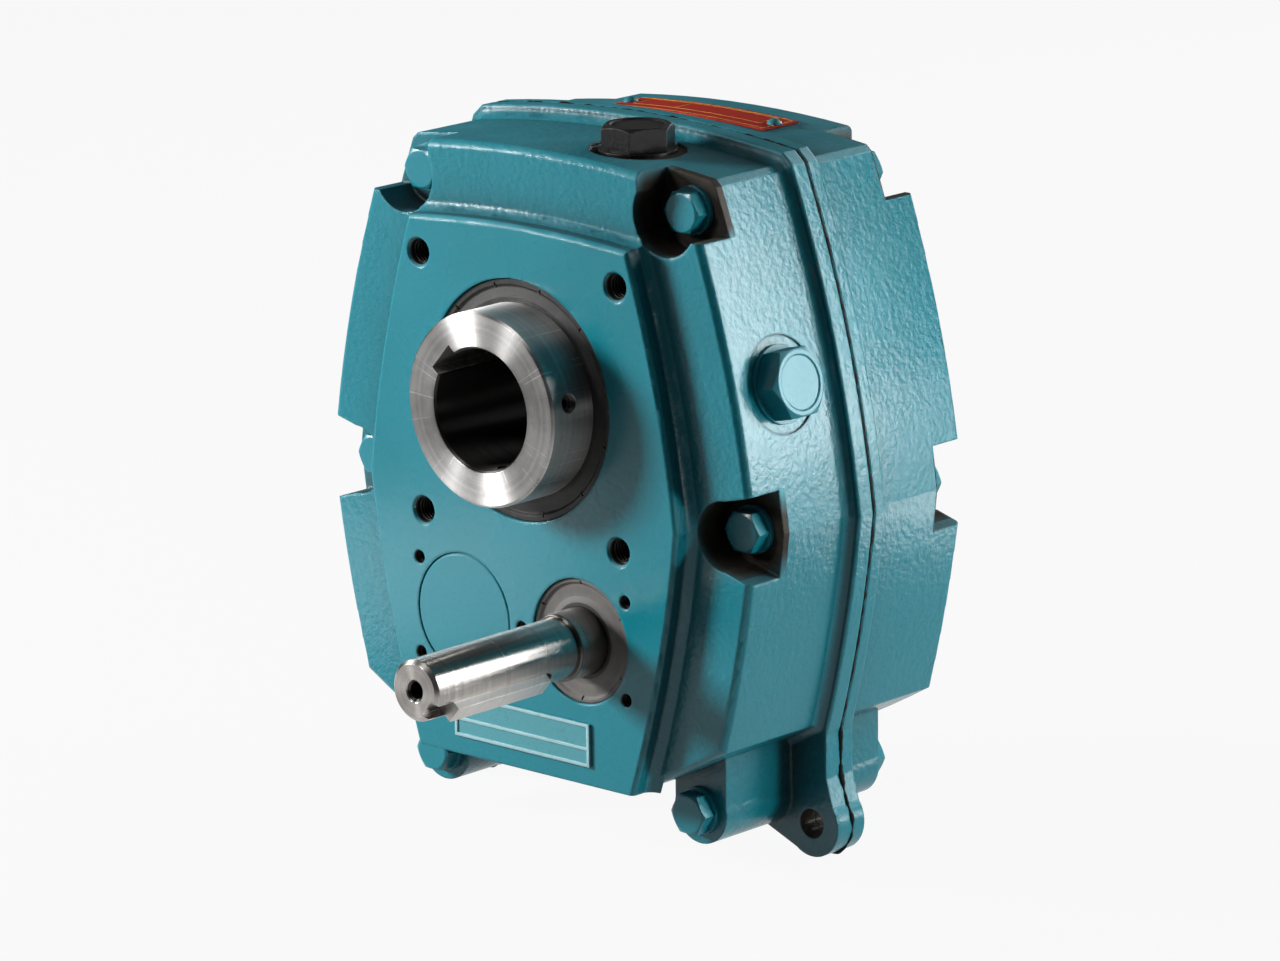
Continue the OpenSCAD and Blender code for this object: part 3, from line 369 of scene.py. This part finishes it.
# The hole walls are bare, and painted near black as the shade inside them.
shaded_bare_holes = [(mount_hole, mount_hole, 0.0054, front_only), (mount_hole, -mount_hole, 0.0054, front_only),
              (arm_hole_x, arm_hole_z, 0.0063, both_halves), (0, lower_axes_z, 0.0028, front_only),
              (cover_hole_x, lower_axes_z + cover_hole_z, 0.0028, front_only),
              (cover_hole_x, lower_axes_z - cover_hole_z, 0.0028, front_only)]
bolt_pockets = [(corner_bolt, 0.01665, 0.0569, None), (waist_bolt, 0.01465, 0.102, 0.27)]
corner_ledge = 0.0091
pocket_floor = 0.0455
# How deep and how strong the painted shade in the bolt pockets is, on each side.
pocket_shade_depths = (0.072, 0.062)
faint_pocket_shade = 0.3
left_pocket_shade, right_pocket_shade = 0.12, 1
casing_enamel = enamel("casing_enamel", teal, 1.0, 0.27, nooks=0.045, smooth_from=pad_start, edge=0.0016,
                       bare_and_shade=bare_iron_and_pocket_shade)
dress(casing_enamel, "front_casing", "rear_casing")

# Joint seal: a bead of dark sealant that shows as a thin line between the two flanges.
# It is squeezed out a little unevenly as the bolts pull up.
sealant, tree = new_material("joint_sealant")
lumps = noise(tree, own_place(tree), 160, 3)
tone = mix_colour(tree, lumps, (0.002, 0.003, 0.003, 1), (0.006, 0.012, 0.013, 1))
bump = node(tree, "ShaderNodeBump", Strength=0.6, Distance=0.0004, Height=lumps)
film = node(tree, "ShaderNodeBsdfPrincipled", Base_Color=tone, Roughness=0.75, Normal=bump.outputs[0],
            Specular_IOR_Level=0.15)
node(tree, "ShaderNodeOutputMaterial", Surface=film.outputs[0])
dress(sealant, "casing_gasket")


def growing_tree(name, **inputs):
    """Starts a Geometry Nodes tree with named inputs for its sizes."""
    tree = bpy.data.node_groups.new(name, "GeometryNodeTree")
    for way in ("INPUT", "OUTPUT"):
        tree.interface.new_socket("Geometry", in_out=way, socket_type="NodeSocketGeometry")
    for label, kind in inputs.items():
        tree.interface.new_socket(label, in_out="INPUT", socket_type="NodeSocket" + kind)
    return tree, node(tree, "NodeGroupInput").outputs


def end_tree(tree, shape, finish):
    """Ends a Geometry Nodes tree: makes its instances real and gives them their finish."""
    plain = node(tree, "GeometryNodeRealizeInstances", Geometry=shape)
    done = node(tree, "GeometryNodeSetMaterial", Geometry=plain.outputs[0], Material=finish)
    node(tree, "NodeGroupOutput", Geometry=done.outputs[0])


sealant_bead, given = growing_tree("sealant_bead", Thin="Float", Thick="Float", Lumps="Float",
                                   Finish="Material")
run = node(sealant_bead, "GeometryNodeMeshToCurve", Mesh=given["Geometry"])
run = node(sealant_bead, "GeometryNodeResampleCurve", mode="LENGTH", Curve=run.outputs[0], Length=0.0012)
squeeze = node(sealant_bead, "ShaderNodeTexNoise", Scale=given["Lumps"], Detail=2, Roughness=0.6)
squeeze = ramp(sealant_bead, squeeze.outputs["Fac"], 0.35, 0.68, given["Thin"], given["Thick"])
profile = node(sealant_bead, "GeometryNodeCurvePrimitiveCircle", Resolution=7, Radius=1.0)
bead = node(sealant_bead, "GeometryNodeCurveToMesh", Curve=run.outputs[0], Profile_Curve=profile.outputs[0],
            Scale=squeeze)
end_tree(sealant_bead, bead.outputs[0], given["Finish"])


def grow(name, points, edges, tree, body, slot, **sizes):
    """Runs a Geometry Nodes tree on points and edges and keeps the result as a plain mesh on a body."""
    mesh = bpy.data.meshes.new(name)
    mesh.from_pydata(points, edges, [])
    piece = bpy.data.objects.new(name, mesh)
    scene.collection.objects.link(piece)
    modifier = piece.modifiers.new("grow", "NODES")
    modifier.node_group = tree
    for item in tree.interface.items_tree:
        if item.in_out == "INPUT" and item.name in sizes:
            modifier[item.identifier] = sizes[item.name]
    bpy.context.view_layer.update()
    made = bpy.data.meshes.new_from_object(piece.evaluated_get(bpy.context.evaluated_depsgraph_get()))
    piece.modifiers.remove(modifier)
    piece.data = made
    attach(piece, body)


seal = bmesh.new()
seal.from_mesh(nodes["casing_gasket"].data)
bmesh.ops.remove_doubles(seal, verts=seal.verts, dist=1e-6)
face_back, face_aside = 0.9, 0.1
rims = [e for e in seal.edges if any(f.normal.y > face_back for f in e.link_faces)
        and any(abs(f.normal.y) < face_aside for f in e.link_faces)]
outer = {max((v for e in rims for v in e.verts), key=lambda v: v.co.x)}
reached = 0
while len(outer) > reached:
    reached = len(outer)
    outer |= {v for e in rims if e.verts[0] in outer or e.verts[1] in outer for v in e.verts}
outer = sorted(outer, key=lambda v: v.index)
order = {v: k for k, v in enumerate(outer)}
edges = [(order[e.verts[0]], order[e.verts[1]]) for e in rims if e.verts[0] in order]
grow("joint_sealant_bead", [(v.co.x, 0, v.co.z) for v in outer], edges, sealant_bead, "casing", "gasket",
     Thin=0.0002, Thick=0.0014, Lumps=170.0, Finish=sealant)
seal.free()

# Casing bolts, washers and nuts: plain steel fasteners painted with the casing.
# The film is thinner here and has no sand texture under it.
fastener_enamel = enamel("fastener_enamel", teal, 0.35, 0.32)
dress(fastener_enamel, "case_bolts", "case_washers", "case_nuts")

# Output sleeve: a steel tube turned all over, its ends faced and its journals ground.
# Fine circular tool marks draw the light out into wedges on the end faces.
sleeve_light = (0.55, 0.54, 0.53, 1)
sleeve_dark = (0.2, 0.194, 0.189, 1)
sleeve_bore_r = 0.0258


def bands(tree, value, scale, detail):
    """Gives bands of values that change with one value alone."""
    made = node(tree, "ShaderNodeTexNoise", noise_dimensions="1D", W=value, Scale=scale, Detail=detail)
    return made.outputs["Fac"]


turning, given = shader_group("turning_marks", {"Centre X": 0.0, "Centre Z": 0.0, "Bore": 0.0, "Stain": 0.0},
                              ("Height", "Tone", "Inside", "Rust", "Scribe"))
place = own_place(turning)
centre = node(turning, "ShaderNodeCombineXYZ", X=given["Centre X"], Z=given["Centre Z"])
spoke = node(turning, "ShaderNodeVectorMath", operation="SUBTRACT", i0=place, i1=centre.outputs[0])
spoke = node(turning, "ShaderNodeSeparateXYZ", Vector=spoke.outputs[0]).outputs
flat = node(turning, "ShaderNodeCombineXYZ", X=spoke["X"], Z=spoke["Z"])
radius = node(turning, "ShaderNodeVectorMath", operation="LENGTH", i0=flat.outputs[0]).outputs["Value"]
along = calc(turning, "ADD", radius, spoke["Y"])
rings = bands(turning, along, 2600, 2)
stain = noise(turning, place, 70, 4, 0.65)
tone = calc(turning, "MULTIPLY_ADD", bands(turning, along, 380, 3), 0.8, -0.4)
tone = calc(turning, "ADD", tone, ramp(turning, given["Stain"], 0, 1, 0.55, stain))
shaded_inner = calc(turning, "LESS_THAN", radius, given["Bore"])
rust = ramp(turning, noise(turning, place, 190, 6, 0.7), 0.62, 0.78, 0, 0.6)
rust = calc(turning, "MULTIPLY", rust, given["Stain"])
angle = calc(turning, "ARCTAN2", spoke["Z"], spoke["X"])
scratch = ramp(turning, bands(turning, angle, 26, 2), 0.69, 0.72)
scribe = calc(turning, "MULTIPLY", scratch, ramp(turning, stain, 0.42, 0.6))
node(turning, "NodeGroupOutput", Height=rings, Tone=tone, Inside=shaded_inner, Rust=rust, Scribe=scribe)


def turned_steel(name, centre, light, dark, roughness, marks=0.000008, spread=0.9, edge=0.0004, bore=0.0,
                 scribed=False, stain=1.0, oiled=None):
    """Bare steel turned about an axis along Y, with tool marks, broken edges, light stains and a bore
    darkened as painted shade.
    Where oiled gives a shoulder and a seal, oil and painted shade darken the shoulder and the journal up to
    the seal."""
    fresh_cut = tint(light, 1.3)
    rust_brown = (0.16, 0.075, 0.035, 1)
    oil_and_shade_black = (0.035, 0.032, 0.03, 1)
    made, tree = new_material(name)
    lathe = place_group(tree, turning, Centre_X=centre[0], Centre_Z=centre[1], Bore=bore, Stain=stain)
    rim = place_group(tree, worn_edge, Width=edge)
    tone = mix_colour(tree, lathe["Tone"], dark, light)
    if scribed:
        tone = mix_colour(tree, lathe["Scribe"], tone, fresh_cut)
    tone = mix_colour(tree, rim["Edge"], tone, fresh_cut)
    # The bore is painted darker as shade.
    tone = mix_colour(tree, lathe["Inside"], tone, tint(dark, 0.22))
    tone = mix_colour(tree, lathe["Rust"], tone, rust_brown)
    place = own_place(tree)
    # Oil and painted shade darken the journal and the shoulder chamfer.
    if oiled:
        shoulder_y, seal_y = oiled
        dry_length, shoulder_width = 0.003, 0.0006
        depth = node(tree, "ShaderNodeSeparateXYZ", Vector=place).outputs["Y"]
        journal = ramp(tree, depth, shoulder_y + dry_length, seal_y, 0, 0.9)
        away = calc(tree, "ABSOLUTE", calc(tree, "SUBTRACT", depth, shoulder_y))
        shoulder = ramp(tree, away, shoulder_width, 2 * shoulder_width, 0.85, 0)
        tone = mix_colour(tree, calc(tree, "MAXIMUM", journal, shoulder), tone, oil_and_shade_black)
    rough = ramp(tree, lathe["Tone"], 0, 1, roughness + 0.06, roughness - 0.04)
    bump = node(tree, "ShaderNodeBump", Strength=0.5, Distance=marks, Height=lathe["Height"],
                Normal=rim["Normal"])
    spoke = node(tree, "ShaderNodeVectorMath", operation="SUBTRACT", i0=place, i1=(centre[0], 0, centre[1]))
    way = node(tree, "ShaderNodeVectorMath", operation="CROSS_PRODUCT", i0=spoke.outputs[0], i1=(0, 1, 0))
    way = node(tree, "ShaderNodeVectorTransform", vector_type="VECTOR", convert_from="OBJECT",
               convert_to="WORLD", Vector=way.outputs[0])
    steel = node(tree, "ShaderNodeBsdfPrincipled", Base_Color=tone, Roughness=rough, Metallic=1.0,
                 Normal=bump.outputs[0], Anisotropic=spread, Anisotropic_Rotation=0.25,
                 Tangent=way.outputs[0])
    node(tree, "ShaderNodeOutputMaterial", Surface=steel.outputs[0])
    return made


# The bore of the sleeve is darkened as painted shade.
sleeve_steel = turned_steel("sleeve_steel", (0, 0), sleeve_light, sleeve_dark, 0.3, spread=0.97,
                            bore=sleeve_bore_r, scribed=True)
dress(sleeve_steel, "output_sleeve", "output_spacer", "output_inner_rings", "output_outer_rings")

# Set screws and circlips: screws of alloy steel and rings of spring steel, blackened in a hot bath.
# Oil keeps the black dark, and paler metal comes through on the worn edges.
black_oxide = enamel("black_oxide", (0.018, 0.017, 0.016, 1), 0.3, 0.4, edge=0.0004,
                     worn=(0.3, 0.29, 0.27, 1))
dress(black_oxide, "set_screws", "bearing_circlips")

# Lip seals: rings of moulded rubber pressed into the bores, black around the sleeve and greyer at the input.
# The rubber is dull and slightly dusty, and the lip of the input seal is darkened by oil and painted shade.
seal_low, seal_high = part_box("input_seal")
input_axis = ((seal_low.x + seal_high.x) / 2, (seal_low.z + seal_high.z) / 2)


def moulded_rubber(name, centre, dark, light, lip=0.0):
    """Dull rubber moulded in rings about an axis along Y, with pale dust on it and a lip darkened by oil and
    painted shade.
    """
    dust_grey = (0.075, 0.072, 0.07, 1)
    edge_grey = (0.12, 0.118, 0.115, 1)
    made, tree = new_material(name)
    rings = place_group(tree, turning, Centre_X=centre[0], Centre_Z=centre[1], Bore=lip, Stain=1.0)
    rim = place_group(tree, worn_edge, Width=0.0005)
    place = own_place(tree)
    dust = noise(tree, place, 260, 4, 0.65)
    fine = noise(tree, place, 1400, 2)
    tone = mix_colour(tree, rings["Tone"], dark, light)
    tone = mix_colour(tree, ramp(tree, dust, 0.52, 0.75, 0, 0.35), tone, dust_grey)
    tone = mix_colour(tree, rim["Edge"], tone, edge_grey)
    if lip:
        # The lip is darkened by oil and painted shade.
        tone = mix_colour(tree, rings["Inside"], tone, tint(dark, 0.35))
    rough = ramp(tree, dust, 0, 1, 0.36, 0.6)
    bump = node(tree, "ShaderNodeBump", Strength=0.35, Distance=0.00015, Height=fine, Normal=rim["Normal"])
    film = node(tree, "ShaderNodeBsdfPrincipled", Base_Color=tone, Roughness=rough, Normal=bump.outputs[0],
                Specular_IOR_Level=0.3)
    node(tree, "ShaderNodeOutputMaterial", Surface=film.outputs[0])
    return made


output_rubber = moulded_rubber("output_rubber", (0, 0), (0.006, 0.0058, 0.0055, 1), (0.024, 0.023, 0.022, 1))
dress(output_rubber, "front_output_seal", "rear_output_seal")
input_rubber = moulded_rubber("input_rubber", input_axis, (0.08, 0.075, 0.071, 1), (0.2, 0.188, 0.178, 1),
                              lip=0.0158)
dress(input_rubber, "input_seal")

# Closing plugs of the bearing bores: pressed steel discs, painted over with the casing.
# Only a fine ring in the paint shows where they sit.
dress(enamel("plug_enamel", teal, 0.3), "front_core_plug", "rear_core_plugs")

# Input shaft and key: a ground steel shaft with a milled keyway, and a key of drawn bar pressed into it.
# The shaft end is polished, and oil from the seal and painted shade darken the journal and its shoulder.
pad_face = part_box("front_casing")[0].y
shoulder_y = pad_face - 0.014
shaft_steel = turned_steel("shaft_steel", input_axis, (0.52, 0.495, 0.47, 1), (0.26, 0.245, 0.23, 1), 0.25,
                           marks=0.000004, spread=0.8, bore=0.0043, stain=0.25,
                           oiled=(shoulder_y, seal_low.y))
dress(shaft_steel, "input_shaft", "input_inner_rings", "input_outer_rings")
key_steel = turned_steel("key_steel", input_axis, (0.66, 0.64, 0.62, 1), (0.45, 0.43, 0.41, 1), 0.5,
                         marks=0.000003, spread=0.0)
dress(key_steel, "input_key", "output_gear_key", "intermediate_key", "dowel_pins")

# Oil plugs: the filler on top is a black plug with a sealing ring, screwed in after painting.
# The level and drain plugs were in place when the casing was sprayed.
plug_black = enamel("plug_black", (0.009, 0.0085, 0.008, 1), 0.8, 0.3, edge=0.0006, shine=0.16,
                    worn=(0.17, 0.165, 0.16, 1))
dress(plug_black, "filler_plug", "filler_washer")
dress(fastener_enamel, "level_plug", "level_washer", "drain_plug", "drain_washer")

# Plates: a red enamelled plate riveted to the crowned top, and a painted plate on the front pad.
# Their rims and rulings are raised, and the fields between them are plain.
plate_red = enamel("plate_red", (0.44, 0.022, 0.008, 1), 0.15, 0.42, shine=0.08)
dress(plate_red, "rating_plate")
dress(fastener_enamel, "plate_rivets")
dress(enamel("plate_enamel", (0.075, 0.31, 0.36, 1), 0.2, 0.34), "front_plate")


def raised_rulings(name, across, down, fields, surface, height, material):
    """Makes the raised grid of a plate: all cells but the sunken fields, standing on a surface."""
    grid = bmesh.new()
    corners = {}
    for i, u in enumerate(across):
        for j, v in enumerate(down):
            corners[i, j] = [grid.verts.new(surface(u, v, h)) for h in (0, height)]
    solid = {(i, j) for i in range(len(across) - 1) for j in range(len(down) - 1)} - fields
    for i, j in solid:
        ring = [(i, j), (i + 1, j), (i + 1, j + 1), (i, j + 1)]
        for level in (0, 1):
            grid.faces.new([corners[c][level] for c in ring])
        beside = [(i, j - 1), (i + 1, j), (i, j + 1), (i - 1, j)]
        for start, end, other in zip(ring, ring[1:] + ring[:1], beside):
            if other not in solid:
                grid.faces.new([corners[start][0], corners[end][0], corners[end][1], corners[start][1]])
    bmesh.ops.delete(grid, geom=[v for v in grid.verts if not v.link_faces], context="VERTS")
    bmesh.ops.recalc_face_normals(grid, faces=grid.faces)
    mesh = bpy.data.meshes.new(name)
    grid.to_mesh(mesh)
    grid.free()
    mesh.materials.append(material)
    piece = bpy.data.objects.new(name, mesh)
    scene.collection.objects.link(piece)
    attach(piece, "casing")


low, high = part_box("front_plate")
rim = 0.0014
split = low.z + 0.42 * (high.z - low.z)
across = [low.x, low.x + rim, high.x - rim, high.x]
down = [low.z, low.z + rim, split - rim / 2, split + rim / 2, high.z - rim, high.z]
rim_height = 0.0005
rim_sunk = 0.00002
pale_enamel = enamel("pale_enamel", (0.33, 0.57, 0.61, 1), 0.2, 0.34)
raised_rulings("front_plate_rim", across, down, {(1, 1), (1, 3)},
               lambda x, z, h: (x, low.y - h + rim_sunk, z), rim_height, pale_enamel)

plate_low, plate_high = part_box("rating_plate")
crown_r = 0.601
inset = 0.0014
line = 0.0003
thin_line = line * 0.6
line_height = 0.00018
line_sunk = 0.00006
hair = 1e-7
span = plate_high.x - plate_low.x
border_x = (plate_low.x + inset, plate_high.x - inset - line)
border_y = (plate_low.y + inset, plate_high.y - inset - line)
columns = (plate_low.x + 0.1 * span, plate_low.x + 0.36 * span, plate_high.x - 0.1 * span)
rows = (plate_low.y + 0.32 * (plate_high.y - plate_low.y), plate_high.y - inset - 6 * line)
bend_from, bend_to, bends = plate_low.x + 0.012, plate_high.x - 0.012, 8
across = {bend_from + (bend_to - bend_from) * k / bends for k in range(bends + 1)}
across = sorted(across | {x + d for x in border_x + columns for d in (0, line)})
down = sorted({y + d for y in border_y for d in (0, line)} | {y + d for y in rows for d in (0, thin_line)})


def is_line(value, starts, width):
    """Tells whether a cell that starts at a value belongs to one of the lines."""
    return any(start - hair <= value < start + width - hair for start in starts)


fields = set()
for i, x in enumerate(across[:-1]):
    for j, y in enumerate(down[:-1]):
        border = is_line(x, border_x, line) or is_line(y, border_y, line)
        wide = columns[0] - hair <= x < columns[-1] + line - hair
        tall = rows[0] - hair <= y < rows[-1] + thin_line - hair
        ruling = wide and tall and (is_line(x, columns, line) or is_line(y, rows, thin_line))
        if not border and not ruling:
            fields.add((i, j))


def on_crown(x, y, height):
    """Gives a point at a height above the crowned plate, sunk a little so that the lines sit in it."""
    return x, y, plate_high.z - crown_r + math.sqrt(crown_r ** 2 - x ** 2) + height - line_sunk


gold = turned_steel("plate_gold", (0, 0), (0.5, 0.26, 0.07, 1), (0.3, 0.14, 0.03, 1), 0.5,
                    marks=0.000002, spread=0.0)
raised_rulings("rating_plate_rulings", across, down, fields, on_crown, line_height, gold)

# Threads: the crests of the tapped holes in the front pad and of the casing bolts behind their nuts.
# They are cut in the iron and rolled on the bolts.
thread_rings, given = growing_tree("thread_rings", Radius="Float", Crest="Float", Pitch="Float", Turns="Int",
                                   Finish="Material")
ring = node(thread_rings, "GeometryNodeCurvePrimitiveCircle", Resolution=28, Radius=given["Radius"])
ridge = node(thread_rings, "GeometryNodeCurvePrimitiveCircle", Resolution=4, Radius=given["Crest"])
crest = node(thread_rings, "GeometryNodeCurveToMesh", Curve=ring.outputs[0], Profile_Curve=ridge.outputs[0])
crest = node(thread_rings, "GeometryNodeTransform", Geometry=crest.outputs[0],
             Rotation=(math.radians(90), 0, 0))
step = node(thread_rings, "ShaderNodeCombineXYZ", Y=given["Pitch"])
run = node(thread_rings, "GeometryNodeMeshLine", Count=given["Turns"], Offset=step.outputs[0])
thread = node(thread_rings, "GeometryNodeInstanceOnPoints", Points=run.outputs[0], Instance=crest.outputs[0])
holes = node(thread_rings, "GeometryNodeInstanceOnPoints", Points=given["Geometry"],
             Instance=thread.outputs[0])
end_tree(thread_rings, holes.outputs[0], given["Finish"])

# The thread crests in the holes are oily iron, near black as painted shade.
shaded_oily_iron = enamel("shaded_oily_iron", (0.03, 0.028, 0.026, 1), 0.3, 0.3)
large_y, small_y = pad_face + 0.0035, pad_face + 0.0022
large = [(x, large_y, z) for x in (-mount_hole, mount_hole) for z in (-mount_hole, mount_hole)]
grow("mounting_hole_threads", large, [], thread_rings, "casing", "casing_paint",
     Radius=0.0051, Crest=0.00045, Pitch=0.00175, Turns=8, Finish=shaded_oily_iron)
small = [(x, small_y, lower_axes_z + z) for x in (-cover_hole_x, cover_hole_x)
         for z in (-cover_hole_z, cover_hole_z)]
small.append((0, small_y, lower_axes_z))
grow("cover_hole_threads", small, [], thread_rings, "casing", "casing_paint",
     Radius=0.0025, Crest=0.00028, Pitch=0.001, Turns=7, Finish=shaded_oily_iron)
nut_reach = 0.012
nut_backs = []
for x, z in (corner_bolt, waist_bolt, foot_bolt):
    nut = [v.co for v in nodes["case_nuts"].data.vertices if math.hypot(v.co.x - x, v.co.z - z) < nut_reach]
    nut_backs += [(side * x, max(point.y for point in nut) + 0.0005, z) for side in (-1, 1)]
grow("case_bolt_threads", nut_backs, [], thread_rings, "casing", "casing_paint",
     Radius=0.0049, Crest=0.0005, Pitch=0.0015, Turns=2, Finish=fastener_enamel)

# Gears, balls and cages inside: hobbed and ground steel wet with oil, polished balls, machined brass.
# They only show when the casing is opened.
gear_steel = turned_steel("gear_steel", (0, 0), (0.5, 0.49, 0.47, 1), (0.26, 0.25, 0.24, 1), 0.34)
dress(gear_steel, "output_gear")
middle_axis = (-input_axis[0], input_axis[1])
middle_steel = turned_steel("intermediate_steel", middle_axis, (0.55, 0.54, 0.52, 1), (0.3, 0.29, 0.28, 1),
                            0.32)
dress(middle_steel, "intermediate_gear", "intermediate_shaft", "intermediate_inner_rings",
      "intermediate_outer_rings")
ball_steel = turned_steel("ball_steel", (0, 0), (0.85, 0.85, 0.86, 1), (0.7, 0.7, 0.71, 1), 0.12,
                          marks=0.000001, spread=0.0)
dress(ball_steel, "output_balls", "intermediate_balls", "input_balls")
cage_brass = turned_steel("cage_brass", (0, 0), (0.78, 0.56, 0.22, 1), (0.5, 0.34, 0.12, 1), 0.3)
dress(cage_brass, "output_cages", "intermediate_cages", "input_cages")
